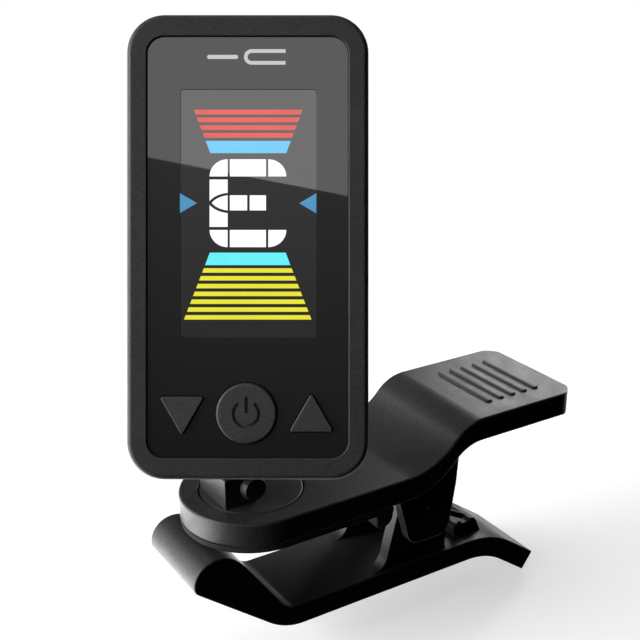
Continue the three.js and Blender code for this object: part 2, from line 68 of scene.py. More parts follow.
# Clip sizes in millimetres, as in the CAD part
PLATE = 2.8
ARM_TOP = 14.0
ARM_BOTTOM = 10.95
UPPER_HALF = 8.45
LOWER_HALF = 5.8
STEP_X, STEP_LOW, STEP_HIGH, STEP_ANGLE = 8.0, 10.0, 5.4, 48.0
STEP_END = STEP_X + (STEP_LOW + STEP_HIGH) * math.sin(math.radians(STEP_ANGLE))
LEVER_RISE = (STEP_LOW + STEP_HIGH) * (1 - math.cos(math.radians(STEP_ANGLE)))
LEVER_END = 34.9
PIVOT = (12.2, 8.2)
PIVOT_R, PIVOT_BORE_R = 0.8, 0.88
EAR_INNER, EAR_OUTER, EAR_EDGE = 6.5, 7.9, 0.1
WALL_INNER, WALL_OUTER, WALL_EDGE = 3.6, 5.3, 0.12
GRIPS, GRIP_X, GRIP_PITCH, GRIP_W, GRIP_L = 5, 23.2, 1.9, 0.9, 10.5
GRIP_LOW, GRIP_HIGH = 18.9, 19.35
PAD_HALF, PAD_THICK, PAD_END = 8.35, 0.7, 6.3
PAD_GROOVES, GROOVE_X, GROOVE_PITCH = 5, -11.5, 3.4
PIN_END = 8.05
COIL_R, COIL_TURNS, COIL_PITCH, COIL_Y, WIRE_R = 1.85, 5, 1.08, 2.7, 0.42

# Swivel and neck
SWIVEL_X = -8.25
DISC_R, DISC_THICK = 6.1, 1.15
DISC_WELL, DISC_WELL_TOP = DISC_R + 0.13, DISC_R + 0.19
BOSS_R, BOSS_BORE_R = 4.4, 4.52
CHEEK_OUTER, CHEEK_INNER, CHEEK_FRONT, EYE_R = 3.2, 1.6, -13.3, 1.6
HINGE = (-9.9, 16.05)
HINGE_R, HINGE_BORE_R = 0.8, 0.86
NECK_POINT = Vector((-7.7, 0, 23.7))
NECK_R, NECK_EYE_R, COLLAR_R = 1.3, 1.75, 2.3

# Head, in its own frame: x to the right, y up, z out of the display, and the front rim at 0
HEAD_W, HEAD_H, HEAD_D, HEAD_CORNER = 24.95, 48.0, 8.3, 3.9
HEAD_WALL = 1.2
HEAD_YAW, HEAD_LEAN, HEAD_AT = -32.2, 21.1, Vector((-10.28, -4.27, 44.66))
SPLIT = -4.6
INNER = (HEAD_W - 2 * HEAD_WALL, HEAD_H - 2 * HEAD_WALL, HEAD_CORNER - HEAD_WALL)
CASE_EDGE, SEAM_EDGE = 0.55, 0.12
PANEL_W, PANEL_H, PANEL_CORNER = 20.8, 43.5, 1.8
PANEL_TOP = -0.36
LENS_X, LENS_W, LENS_H = 0.1, 14.0, 25.6
LCD_W, LCD_H, LCD_Y = 17.0, 28.0, 3.45
BATTERY_Y = 4.0
DOOR_Y = -8.4
DOOR_RIBS, DOOR_RIB_PITCH = 4, 1.3
BARREL_R, BARREL_BORE_R = 2.9, 1.38
POST_R = 1.5
SCREW_X, SCREW_Y = 9.5, 21.0
SCREWS = [(sx * SCREW_X, sy * SCREW_Y) for sx, sy in ((-1, 1), (1, 1), (-1, -1), (1, -1))]
POWER_R = 3.15
MARK_R, MARK_INNER_R = 1.5, 1.13
ARROW_REACH, ARROW_ROUND = 2.7, 0.22
BUTTON_GAP = 0.1
BUTTONS = {"power": (-0.12, -17.15), "down": (-6.75, -16.76), "up": (6.6, -17.69)}

# Axes that bodies are turned about
ACROSS = (0, 1, 0)
UP = (0, 0, 1)


def head_matrix():
    """From the head's own frame to the part's, both in millimetres."""
    yaw, lean = math.radians(HEAD_YAW), math.radians(HEAD_LEAN)
    right = Vector((math.cos(yaw), math.sin(yaw), 0))
    out = Vector((math.sin(yaw) * math.cos(lean), -math.cos(yaw) * math.cos(lean), math.sin(lean)))
    turn = Matrix((right, out.cross(right), out)).transposed().to_4x4()
    return Matrix.Translation(HEAD_AT) @ turn


HEAD = head_matrix()
FLAT = Matrix.Identity(4)
SIDE = Matrix(((1, 0, 0, 0), (0, 0, -1, 0), (0, 1, 0, 0), (0, 0, 0, 1)))
AXLE = (NECK_POINT - Vector((HINGE[0], 0, HINGE[1]))).normalized()


# ---- Outlines -------------------------------------------------------------------------------


# Points of an outline that are closer than this are one point.
SAME_POINT = 0.004


class Outline:
    """A closed outline drawn with lines, arcs and curves."""

    def __init__(self, x, y):
        self.points = [(x, y)]

    def line(self, *steps):
        for x, y in steps:
            self.points.append((x, y))
        return self

    def arc(self, x, y, r, start, end, steps=14):
        for i in range(steps + 1):
            a = math.radians(start + (end - start) * i / steps)
            self.points.append((x + r * math.cos(a), y + r * math.sin(a)))
        return self

    def curve(self, cx, cy, x, y, steps=8):
        x0, y0 = self.points[-1]
        for i in range(1, steps + 1):
            t = i / steps
            a, b, c = (1 - t) ** 2, 2 * t * (1 - t), t * t
            self.points.append((a * x0 + b * cx + c * x, a * y0 + b * cy + c * y))
        return self

    def closed(self):
        """The points counter-clockwise, with none twice."""
        kept = []
        for p in self.points:
            if not kept or math.dist(p, kept[-1]) > SAME_POINT:
                kept.append(p)
        if math.dist(kept[0], kept[-1]) < SAME_POINT:
            kept.pop()
        area = sum(a[0] * b[1] - b[0] * a[1] for a, b in zip(kept, kept[1:] + kept[:1]))
        return kept if area > 0 else kept[::-1]


def rounded_rect(w, h, r, x=0.0, y=0.0, steps=10):
    o = Outline(x - w / 2 + r, y - h / 2)
    for cx, cy, start in ((1, -1, -90), (1, 1, 0), (-1, 1, 90), (-1, -1, 180)):
        o.arc(x + cx * (w / 2 - r), y + cy * (h / 2 - r), r, start, start + 90, steps)
    return o


def circle(r, x, y, steps):
    return Outline(x + r, y).arc(x, y, r, 0, 360, steps)


def inset(points, distance):
    """The outline moved inwards by a distance, corner for corner."""
    sharpest = 0.25
    moved = []
    for i, p in enumerate(points):
        before, after = Vector(points[i - 1]), Vector(points[(i + 1) % len(points)])
        here = Vector(p)
        d0, d1 = (here - before).normalized(), (after - here).normalized()
        n0, n1 = Vector((-d0.y, d0.x)), Vector((-d1.y, d1.x))
        m = (n0 + n1) / max(sharpest, 1 + n0.dot(n1))
        moved.append(here + m * distance)
    return moved


def levels(low, high, low_round, high_round, steps):
    """(inset, height) pairs from the bottom to the top, with quarter-round edges."""
    turns = [math.pi / 2 * i / steps for i in range(steps + 1)]
    foot = [(low_round * (1 - math.sin(a)), low + low_round * (1 - math.cos(a))) for a in turns]
    rim = [(high_round * (1 - math.cos(a)), high - high_round * (1 - math.sin(a))) for a in turns]
    return (foot if low_round else [(0.0, low)]) + (rim if high_round else [(0.0, high)])


# ---- Solids ---------------------------------------------------------------------------------


def from_bmesh(bm, name="solid"):
    bmesh.ops.recalc_face_normals(bm, faces=bm.faces)
    mesh = bpy.data.meshes.new(name)
    bm.to_mesh(mesh)
    bm.free()
    obj = bpy.data.objects.new(name, mesh)
    bpy.context.scene.collection.objects.link(obj)
    return obj


def skin(rings):
    """A closed body through rings of the same number of points."""
    bm = bmesh.new()
    loops = [[bm.verts.new(p) for p in ring] for ring in rings]
    count = len(loops[0])
    for low, high in zip(loops, loops[1:]):
        for i in range(count):
            j = (i + 1) % count
            bm.faces.new((low[i], low[j], high[j], high[i]))
    bm.faces.new(loops[0][::-1])
    bm.faces.new(loops[-1])
    return from_bmesh(bm)


def prism(outline, low, high, low_round=0.0, high_round=0.0, place=FLAT, steps=4):
    """An outline pulled up from low to high, with rounded rims."""
    points = outline.closed()
    rings = []
    for distance, z in levels(low, high, low_round, high_round, steps):
        ring = inset(points, distance) if distance else [Vector(p) for p in points]
        rings.append([place @ Vector((p.x, p.y, z)) for p in ring])
    return skin(rings)


def slab(outline, low, high, edge):
    """A side outline in X and Z, pulled across the clip from one Y to another."""
    return prism(outline, -high, -low, edge, edge, SIDE)


def turned(profile, place, sides=64):
    """A turned body from (radius, height) pairs about the place's own Z."""
    rings = []
    for r, z in profile:
        turn = [2 * math.pi * i / sides for i in range(sides)]
        rings.append([place @ Vector((r * math.cos(a), r * math.sin(a), z)) for a in turn])
    return skin(rings)


def axis_place(axis, x, y, z):
    """A place whose own Z is along the axis given."""
    turn = Vector(UP).rotation_difference(Vector(axis)).to_matrix().to_4x4()
    return Matrix.Translation((x, y, z)) @ turn


def box(w, d, h, x, y, z):
    return prism(rounded_rect(w, d, 0.01, x, y, 1), z - h / 2, z + h / 2)


def rod(axis, r, length, x, y, z, sides=48):
    place = axis_place(axis, x, y, z)
    return turned([(r, -length / 2), (r, length / 2)], place, sides)


def pivot_place():
    return axis_place(ACROSS, PIVOT[0], 0, PIVOT[1])


def hinge_place():
    return axis_place(ACROSS, HINGE[0], 0, HINGE[1])


def pivot_bore():
    return rod(ACROSS, PIVOT_BORE_R, 20, PIVOT[0], 0, PIVOT[1])


def hinge_bore():
    return rod(ACROSS, HINGE_BORE_R, 8, HINGE[0], 0, HINGE[1])


def at_screws(r, length, z, sides=24):
    """A rod at each of the case's screws."""
    return [rod(UP, r, length, x, y, z, sides) for x, y in SCREWS]


def combine(body, operation, tools):
    """The body after a boolean with each tool in turn. The tools are used up."""
    for tool in tools:
        m = body.modifiers.new("combine", "BOOLEAN")
        m.operation = operation
        m.solver = "MANIFOLD"
        m.object = tool
    shaped = body.evaluated_get(bpy.context.evaluated_depsgraph_get())
    mesh = bpy.data.meshes.new_from_object(shaped)
    body.modifiers.clear()
    body.data = mesh
    for tool in tools:
        bpy.data.objects.remove(tool)
    return body


def cut(body, *tools):
    return combine(body, "DIFFERENCE", tools)


def join(body, *tools):
    return combine(body, "UNION", tools)


def overlap(body, *tools):
    return combine(body, "INTERSECT", tools)


def together(objects):
    """Several separate bodies in one mesh."""
    bm = bmesh.new()
    for o in objects:
        bm.from_mesh(o.data)
        bpy.data.objects.remove(o)
    return from_bmesh(bm)


# ---- Materials ------------------------------------------------------------------------------


class Shader:
    """A material of plain nodes that take the piece's own coordinates, so scales are per metre."""

    def __init__(self, name):
        self.material = bpy.data.materials.new(name)
        self.material.use_nodes = True
        self.nodes = self.material.node_tree.nodes
        self.links = self.material.node_tree.links
        self.main = self.nodes["Principled BSDF"]
        self.where = self.nodes.new("ShaderNodeTexCoord").outputs["Object"]

    def set(self, **values):
        for key, value in values.items():
            self.main.inputs[key.replace("_", " ")].default_value = value

    def stretched(self, x, y, z):
        node = self.nodes.new("ShaderNodeMapping")
        node.inputs["Scale"].default_value = (x, y, z)
        self.links.new(self.where, node.inputs["Vector"])
        return node.outputs["Vector"]

    def noise(self, scale, detail=2.0, roughness=0.5, where=None):
        node = self.nodes.new("ShaderNodeTexNoise")
        node.inputs["Scale"].default_value = scale
        node.inputs["Detail"].default_value = detail
        node.inputs["Roughness"].default_value = roughness
        self.links.new(where or self.where, node.inputs["Vector"])
        return node.outputs["Fac"]

    def ranged(self, value, low, high, from_low=0.3, from_high=0.7):
        node = self.nodes.new("ShaderNodeMapRange")
        node.inputs["From Min"].default_value = from_low
        node.inputs["From Max"].default_value = from_high
        node.inputs["To Min"].default_value = low
        node.inputs["To Max"].default_value = high
        self.links.new(value, node.inputs["Value"])
        return node.outputs["Result"]

    def blend(self, factor, a, b):
        node = self.nodes.new("ShaderNodeMix")
        node.data_type = "RGBA"
        self.links.new(factor, node.inputs["Factor"])
        for socket, colour in ((6, a), (7, b)):
            if isinstance(colour, tuple):
                node.inputs[socket].default_value = (*colour, 1)
            else:
                self.links.new(colour, node.inputs[socket])
        return node.outputs[2]

    def to(self, value, socket):
        self.links.new(value, self.main.inputs[socket])

    def bump(self, height, depth, onto=None):
        """Depth in metres."""
        node = self.nodes.new("ShaderNodeBump")
        node.inputs["Distance"].default_value = depth
        node.inputs["Strength"].default_value = 1.0
        self.links.new(height, node.inputs["Height"])
        if onto is not None:
            self.links.new(onto, node.inputs["Normal"])
        return node.outputs["Normal"]


def moulded(name, dark, light, roughness, grain=4200.0, depth=0.000012):
    """Moulded plastic: a fine spark-eroded grain over slow changes of tone and sheen."""
    s = Shader(name)
    spread = 0.06
    speckle = s.noise(grain, 3.0, 0.6)
    slow = s.noise(90.0, 3.0)
    rubbed = s.noise(420.0, 4.0, 0.65)
    tone = s.blend(s.ranged(speckle, 0.0, 1.0), dark, light)
    worn = tuple(min(1.0, 1.25 * c) for c in light)
    s.to(s.blend(s.ranged(slow, 0.0, 0.35, 0.45, 0.8), tone, worn), "Base Color")
    s.to(s.ranged(rubbed, roughness - spread, roughness + spread), "Roughness")
    s.to(s.bump(slow, 0.00004, s.bump(speckle, depth)), "Normal")
    return s.material


def glossy(name, dark, light, roughness, smear, ior=1.5):
    """Polished plastic with faint wipe marks."""
    s = Shader(name)
    s.to(s.blend(s.ranged(s.noise(60.0, 2.0), 0.0, 1.0), dark, light), "Base Color")
    wiped = s.noise(260.0, 4.0, 0.6, s.stretched(1.0, 1.0, 0.35))
    s.to(s.ranged(wiped, roughness, roughness + smear, 0.45, 0.8), "Roughness")
    s.to(s.bump(s.noise(35.0, 1.0), 0.00001), "Normal")
    s.set(IOR=ior)
    return s.material


def metal(name, dark, light, roughness, stretch=(1.0, 1.0, 1.0)):
    """Plain metal with drawing or brushing lines along one way."""
    s = Shader(name)
    lines = s.noise(2500.0, 3.0, 0.6, s.stretched(*stretch))
    stain = s.noise(300.0, 4.0, 0.6)
    s.to(s.blend(s.ranged(stain, 0.0, 1.0), dark, light), "Base Color")
    s.to(s.ranged(lines, roughness - 0.08, roughness + 0.1), "Roughness")
    s.to(s.bump(lines, 0.000004), "Normal")
    s.set(Metallic=1.0)
    return s.material


def glow(name, colour, strength=1.0):
    """A lit display segment: its colour varies a little, as the light guide behind it does. Used for the
    printed fork mark too, where the glow is painted light on a mark with no light behind it.
    """
    s = Shader(name)
    deep = tuple(0.93 * c for c in colour)
    lit = s.blend(s.ranged(s.noise(150.0, 2.0), 0.0, 1.0), colour, deep)
    s.to(lit, "Emission Color")
    grain = s.ranged(s.noise(900.0, 2.0), 0.0, 1.0)
    s.to(s.blend(grain, (0.02, 0.02, 0.02), (0.05, 0.05, 0.05)), "Base Color")
    s.to(s.ranged(s.noise(260.0, 3.0), 0.08, 0.13), "Roughness")
    s.set(Emission_Strength=strength)
    return s.material


def board_look():
    """Solder mask with copper tracks under it."""
    s = Shader("board")
    tracks = s.nodes.new("ShaderNodeTexBrick")
    tracks.inputs["Scale"].default_value = 320.0
    tracks.inputs["Mortar Size"].default_value = 0.03
    s.links.new(s.where, tracks.inputs["Vector"])
    weave = s.noise(1500.0, 2.0)
    mask = s.blend(s.ranged(weave, 0.0, 1.0), (0.01, 0.07, 0.03), (0.014, 0.1, 0.045))
    s.to(s.blend(tracks.outputs["Fac"], mask, (0.03, 0.2, 0.08)), "Base Color")
    s.to(s.ranged(weave, 0.25, 0.4), "Roughness")
    s.to(s.bump(tracks.outputs["Fac"], 0.00003), "Normal")
    return s.material


LOOKS = {
    "shell": moulded("shell", (0.018, 0.0184, 0.0192), (0.050, 0.051, 0.053), 0.48),
    "clip": moulded("clip", (0.013, 0.0134, 0.014), (0.052, 0.053, 0.055), 0.42, depth=0.000016),
    "button": moulded("button", (0.026, 0.0265, 0.0275), (0.068, 0.069, 0.072), 0.5),
    "rubber": moulded("rubber", (0.008, 0.008, 0.008), (0.016, 0.016, 0.016), 0.78, 3800.0, 0.00001),
    "chip": moulded("chip", (0.006, 0.006, 0.006), (0.012, 0.012, 0.012), 0.5, 5000.0),
    "white": moulded("white", (0.72, 0.72, 0.69), (0.82, 0.82, 0.79), 0.4, 3000.0),
    "gloss": glossy("gloss", (0.0052, 0.0053, 0.0058), (0.0075, 0.0076, 0.0082), 0.01, 0.02),
    "glass": glossy("glass", (0.012, 0.0124, 0.013), (0.017, 0.0175, 0.0185), 0.01, 0.02, 1.65),
    # The printed fork mark is drawn as a glow: its grey is painted light of its own, not ink lit by the
    # lamps.
    "print": glow("print", (0.5, 0.5, 0.5)),
    "steel": metal("steel", (0.42, 0.43, 0.44), (0.58, 0.59, 0.6), 0.32, (1.0, 0.08, 1.0)),
    "spring": metal("spring", (0.05, 0.051, 0.053), (0.09, 0.091, 0.094), 0.4, (1.0, 0.08, 1.0)),
    "blackened": metal("blackened", (0.010, 0.010, 0.011), (0.022, 0.022, 0.023), 0.42),
    "brass": metal("brass", (0.5, 0.34, 0.13), (0.66, 0.48, 0.2), 0.3, (0.1, 1.0, 1.0)),
    "board": board_look(),
    "red": glow("red_segment", (0.80, 0.05, 0.035), 0.95),
    "blue": glow("blue_segment", (0.12, 0.58, 0.93), 0.95),
    "cyan": glow("cyan_segment", (0.13, 0.95, 1.0), 0.95),
    "dim_blue": glow("dim_blue_segment", (0.05, 0.29, 0.53), 0.95),
    "yellow": glow("yellow_segment", (0.86, 0.82, 0.018), 0.98),
    "lit": glow("lit_segment", (1.0, 1.0, 1.0), 1.1),
}


def smooth(obj, angle=32.0):
    """Smooth shading, sharp where faces meet at more than the angle in degrees."""
    for p in obj.data.polygons:
        p.use_smooth = True
    obj.data.set_sharp_from_angle(angle=math.radians(angle))
    m = obj.modifiers.new("shading", "WEIGHTED_NORMAL")
    m.keep_sharp = True
    m.weight = 60


def piece(obj, name, body, look, nodes=(), place=FLAT):
    """Puts a body drawn in millimetres in the shared frame, finished and riding on its CAD body."""
    obj.name = name
    obj.data.name = name
    obj.data.transform(MM @ place)
    obj.data.materials.clear()
    obj.data.materials.append(LOOKS[look])
    smooth(obj)
    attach(obj, body)
    if nodes:
        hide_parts(*nodes)


# ---- Clip -----------------------------------------------------------------------------------


def lower_outline():
    bend_x, bend_z, bend_r, angle = 20.4, -12.3, 12.3, 35.5
    end_x, end_z = 31.75, -5.32
    lip_x, lip_z, lip_r = -15.95, 7.0, 2.8
    s, c = math.sin(math.radians(angle)), math.cos(math.radians(angle))
    o = Outline(-5.9, 0).line((bend_x, 0))
    o.arc(bend_x, bend_z, bend_r, 90, 90 - angle, 16)
    o.line((end_x, end_z), (end_x - PLATE * s, end_z - PLATE * c))
    o.arc(bend_x, bend_z, bend_r - PLATE, 90 - angle, 90, 14)
    o.line((-4.6, -PLATE)).curve(-7.2, -PLATE, -9.4, -1.05, 12)
    o.line((-18.2, 5.9)).curve(lip_x - lip_r, 6.3, lip_x - lip_r, lip_z, 6)
    o.arc(lip_x, lip_z, lip_r, 180, 90, 14).curve(-13.8, lip_z + lip_r, -12.0, 7.3, 12)
    o.line((-7.6, 1.0)).curve(-6.9, 0, -5.9, 0, 8)
    return o


def wall_outline():
    o = Outline(5.4, -1).line((5.6, -0.1)).curve(7.3, 0.1, 7.75, 1.8, 12).line((9.55, 8.9))
    o.arc(*PIVOT, 2.6, 165, 8, 20).curve(15.2, 5.2, 16.8, 3.4, 10)
    o.line((16.8, 0.6)).curve(16.9, 0.1, 17.5, -1, 6)
    return o


def spring_rest_outline():
    o = Outline(19.6, -1).line((19.6, 0.95)).curve(19.7, 1.45, 20.25, 1.45, 5)
    o.line((22.05, 1.45), (22.2, 1.85), (23.0, 1.65)).curve(23.6, 1.0, 24.45, -1.5, 8)
    return o


def make_lower_jaw():
    body = join(
        slab(lower_outline(), -LOWER_HALF, LOWER_HALF, 0.2),
        slab(wall_outline(), -WALL_OUTER, -WALL_INNER, WALL_EDGE),
        slab(wall_outline(), WALL_INNER, WALL_OUTER, WALL_EDGE),
        slab(spring_rest_outline(), -WALL_INNER, WALL_INNER, WALL_EDGE),
    )
    cut(body, pivot_bore())
    piece(body, "jaw_lower_shell", "lower_jaw", "clip", ["lower_jaw"])


def arm_outline():
    turn = STEP_ANGLE
    high = LEVER_RISE - STEP_HIGH
    top_edge, under_edge = 0.35, 0.8
    front = SWIVEL_X - UPPER_HALF - 1
    o = Outline(front, ARM_BOTTOM).line((front, ARM_TOP), (STEP_X, ARM_TOP))
    o.arc(STEP_X, ARM_TOP + STEP_LOW, STEP_LOW, -90, turn - 90, 20)
    o.arc(STEP_END, ARM_TOP + high, STEP_HIGH, 90 + turn, 90, 18)
    top, under = ARM_TOP + LEVER_RISE, ARM_BOTTOM + LEVER_RISE
    o.line((LEVER_END - top_edge, top)).curve(LEVER_END, top, LEVER_END, top - top_edge, 5)
    o.line((LEVER_END, under + under_edge))
    o.curve(LEVER_END, under, LEVER_END - under_edge, under, 8)
    o.arc(STEP_END, ARM_BOTTOM + high, STEP_HIGH, 90, 90 + turn, 18)
    o.arc(STEP_X, ARM_BOTTOM + STEP_LOW, STEP_LOW, turn - 90, -90, 20)
    return o


def ear_outline():
    o = Outline(7.4, 12.0).line((7.45, 11.0), (8.95, 5.4)).curve(9.4, 4.4, 10.6, 4.35)
    o.line((13.4, 4.35)).curve(14.9, 4.5, 15.25, 6.0)
    o.line((16.05, 11.2), (16.4, 16.2), (13.2, 14.2))
    return o


def arm_plan(half, rear):
    o = Outline(SWIVEL_X, -half).line((rear, -half), (rear, half), (SWIVEL_X, half))
    return o.arc(SWIVEL_X, 0, half, 90, 270, 56)


def make_upper_jaw():
    edge, corner, rear_start = 0.32, 3, -2
    front = prism(arm_plan(UPPER_HALF, 4.0), ARM_BOTTOM, ARM_TOP, 0.3, edge)
    plan = rounded_rect(LEVER_END - rear_start, 2 * UPPER_HALF, corner, (LEVER_END + rear_start) / 2, 0, 12)
    rear = prism(plan, 5, 25)
    arm = overlap(slab(arm_outline(), -UPPER_HALF, UPPER_HALF, edge), join(front, rear))
    bars = []
    for i in range(GRIPS):
        bar = rounded_rect(GRIP_W, GRIP_L, 0.44, GRIP_X + GRIP_PITCH * i)
        bars.append(prism(bar, GRIP_LOW, GRIP_HIGH, 0, 0.22))
    near_ear = slab(ear_outline(), -EAR_OUTER, -EAR_INNER, EAR_EDGE)
    far_ear = slab(ear_outline(), EAR_INNER, EAR_OUTER, EAR_EDGE)
    body = join(arm, near_ear, far_ear, *bars)
    well = [(DISC_WELL, ARM_TOP - 1.2), (DISC_WELL, ARM_TOP - 0.06), (DISC_WELL_TOP, ARM_TOP),
            (DISC_WELL_TOP, ARM_TOP + 2)]
    cut(
        body,
        pivot_bore(),
        turned(well, axis_place(UP, SWIVEL_X, 0, 0), 96),
        rod(UP, BOSS_BORE_R, 6, SWIVEL_X, 0, ARM_TOP - 2),
        rod(UP, 5.8, 2.7, SWIVEL_X, 0, ARM_BOTTOM),
    )
    piece(body, "jaw_upper_shell", "upper_jaw", "clip", ["upper_jaw"])


def make_pad():
    top = ARM_BOTTOM - 0.05
    bumper = Outline(3.9, top).line((3.95, 8.8)).curve(4.1, 8.45, 4.7, 8.4, 6)
    bumper.curve(PAD_END, 8.6, PAD_END, 10.0, 10).line((PAD_END, top))
    sheet = prism(arm_plan(PAD_HALF, PAD_END), top - PAD_THICK, top, 0.15, 0.05)
    grooves = []
    for i in range(PAD_GROOVES):
        grooves.append(box(0.35, 13.0, 0.3, GROOVE_X + GROOVE_PITCH * i, 0, top - PAD_THICK))
    body = cut(join(sheet, slab(bumper, -PAD_HALF, PAD_HALF, 0.25)), *grooves)
    piece(body, "jaw_pad_rubber", "upper_jaw", "rubber", ["jaw_pad"])


def make_pivot_pin():
    end = [(PIVOT_R, PIN_END - 0.25), (0.66, PIN_END - 0.07), (0.45, PIN_END)]
    profile = [(r, -y) for r, y in end[::-1]] + end
    dimple = [(0.02, -9), (0.34, -9), (0.34, 0.1 - PIN_END), (0.1, 0.3 - PIN_END)]
    body = cut(turned(profile, pivot_place(), 40), turned(dimple, pivot_place(), 24))
    piece(body, "pivot_pin_peened", "lower_jaw", "blackened", ["pivot_pin"])


def spring_points():
    """The spring's centre line: a leg on the rest, the coil round the pin, a leg under the lever."""
    x, z = PIVOT
    start_angle, per_turn = -60, 24
    points = [Vector((x + 9.3, -COIL_Y, 2.0)), Vector((x + 4.6, -COIL_Y, 4.57))]
    for i in range(COIL_TURNS * per_turn + 1):
        a = math.radians(start_angle + 360 * i / per_turn)
        y = -COIL_Y + COIL_PITCH * i / per_turn
        points.append(Vector((x + COIL_R * math.cos(a), y, z + COIL_R * math.sin(a))))
    points.append(Vector((x + 3.9, COIL_Y, 11.0)))
    points.append(Vector((x + 6.4, COIL_Y, 15.0)))
    return points


def make_spring():
    curve = bpy.data.curves.new("spring", "CURVE")
    curve.dimensions = "3D"
    curve.bevel_depth = WIRE_R
    curve.bevel_resolution = 3
    curve.use_fill_caps = True
    points = spring_points()
    line = curve.splines.new("POLY")
    line.points.add(len(points) - 1)
    for knot, p in zip(line.points, points):
        knot.co = (*p, 1)
    source = bpy.data.objects.new("spring_line", curve)
    bpy.context.scene.collection.objects.link(source)
    shaped = source.evaluated_get(bpy.context.evaluated_depsgraph_get())
    mesh = bpy.data.meshes.new_from_object(shaped)
    bpy.data.objects.remove(source)
    obj = bpy.data.objects.new("spring", mesh)
    bpy.context.scene.collection.objects.link(obj)
    mesh.transform(MM)
    mesh.materials.clear()
    mesh.materials.append(LOOKS["spring"])
    obj.name = "torsion_spring_wire"
    smooth(obj, 50)
    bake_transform(obj)
    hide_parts("torsion_spring")


# ---- Swivel and neck ------------------------------------------------------------------------


def make_disc():
    base = ARM_TOP - DISC_THICK
    profile = [(BOSS_R, base - 0.55), (BOSS_R, base), (DISC_R, base), (DISC_R, ARM_TOP - 0.3),
               (DISC_R - 0.1, ARM_TOP - 0.1), (DISC_R - 0.3, ARM_TOP)]
    eye_top = HINGE[1] + EYE_R
    cheek = Outline(CHEEK_FRONT, ARM_TOP - 0.4).line((-9.3, ARM_TOP - 0.4), (-9.2, ARM_TOP + 0.45))
    cheek.arc(*HINGE, EYE_R, -50, 90, 20).line((CHEEK_FRONT + 0.3, eye_top))
    cheek.curve(CHEEK_FRONT, eye_top, CHEEK_FRONT, eye_top - 0.35, 6)
    slot = box(8, 2 * CHEEK_INNER, 8, -8.3, 0, ARM_TOP + 4.001)
    clevis = cut(slab(cheek, -CHEEK_OUTER, CHEEK_OUTER, 0.12), slot)
    body = join(turned(profile, axis_place(UP, SWIVEL_X, 0, 0), 96), clevis)
    cut(body, hinge_bore(), rod(UP, 0.75, 2.2, SWIVEL_X, 0, base - 0.2))
    piece(body, "swivel_plate", "swivel", "clip", ["swivel_disc"])


def make_hinge_pin():
    """A tapered head at each end stands on the cheek."""
    foot = CHEEK_OUTER + 0.05

    def head(sign, top):
        profile = [(HINGE_R, foot), (1.5, foot), (1.58, foot + 0.08), (1.34, top - 0.12),
                   (1.29, top - 0.03), (1.2, top)]
        return [(r, sign * y) for r, y in profile]

    body = turned(head(-1, 4.2)[::-1] + head(1, 4.1), hinge_place())
    piece(body, "hinge_pin_headed", "swivel", "clip", ["hinge_pin"])


def make_neck():
    post = Matrix.Translation(NECK_POINT) @ axis_place(AXLE, 0, 0, 0)
    half, edge = CHEEK_INNER - 0.1, 0.15
    eye = turned([(NECK_EYE_R - edge, -half), (NECK_EYE_R, 0.12 - half), (NECK_EYE_R, half - 0.12),
                  (NECK_EYE_R - edge, half)], hinge_place())
    low, high = -4.3, -3.35
    profile = [(NECK_R, -7.2), (NECK_R, low), (COLLAR_R - edge, low), (COLLAR_R, low + edge),
               (COLLAR_R, high - edge), (COLLAR_R - edge, high), (NECK_R, high), (NECK_R, 3.1),
               (NECK_R - edge, 3.3)]
    body = cut(join(eye, turned(profile, post)), hinge_bore())
    piece(body, "neck_post", "neck", "clip", ["neck"])


# ---- Head -----------------------------------------------------------------------------------


def button_outline(kind, grow=0.0):
    x, y = BUTTONS[kind]
    if kind == "power":
        return circle(POWER_R + grow, x, y, 84)
    turn = -90 if kind == "down" else 90
    r, reach = ARROW_ROUND + grow, ARROW_REACH - 2 * ARROW_ROUND
    o = None
    for a in (turn, turn + 120, turn + 240):
        cx = x + reach * math.cos(math.radians(a))
        cy = y + reach * math.sin(math.radians(a))
        first = math.radians(a - 60)
        o = o or Outline(cx + r * math.cos(first), cy + r * math.sin(first))
        o.arc(cx, cy, r, a - 60, a + 60, 10)
    return o


def button_holes(low, high):
    return [prism(button_outline(kind, BUTTON_GAP), low, high) for kind in BUTTONS]


def case_plan():
    return rounded_rect(HEAD_W, HEAD_H, HEAD_CORNER, steps=20)


def well_plan():
    return rounded_rect(PANEL_W, PANEL_H, PANEL_CORNER, steps=14)


def make_front_case():
    body = cut(
        prism(case_plan(), SPLIT, 0, SEAM_EDGE, CASE_EDGE, steps=6),
        prism(rounded_rect(*INNER), SPLIT - 1, -1.75),
        prism(well_plan(), -1.08, 0.5),
        flared_rim(),
        prism(rounded_rect(LCD_W + 0.4, LCD_H + 0.4, 0.4, 0, LCD_Y, 4), -3, 0),
        *button_holes(-3, 0),
    )
    join(body, *at_screws(POST_R, 3.0, SPLIT + 1.55))
    cut(body, *at_screws(0.74, 2.6, SPLIT + 1.2, 20))
    piece(body, "case_front", "head", "shell", ["front_case"], HEAD)


def flared_rim():
    """Cuts a quarter-round lip round the panel's well."""
    points = well_plan().closed()
    r, steps = 0.12, 6
    rings = [[Vector((x, y, -0.4)) for x, y in points]]
    for i in range(steps + 1):
        a = math.pi / 2 * i / steps
        ring = inset(points, -r * (1 - math.cos(a)))
        rings.append([Vector((p.x, p.y, -r + r * math.sin(a))) for p in ring])
    rings.append([Vector((p.x, p.y, 0.5)) for p in inset(points, -r)])
    return skin(rings)


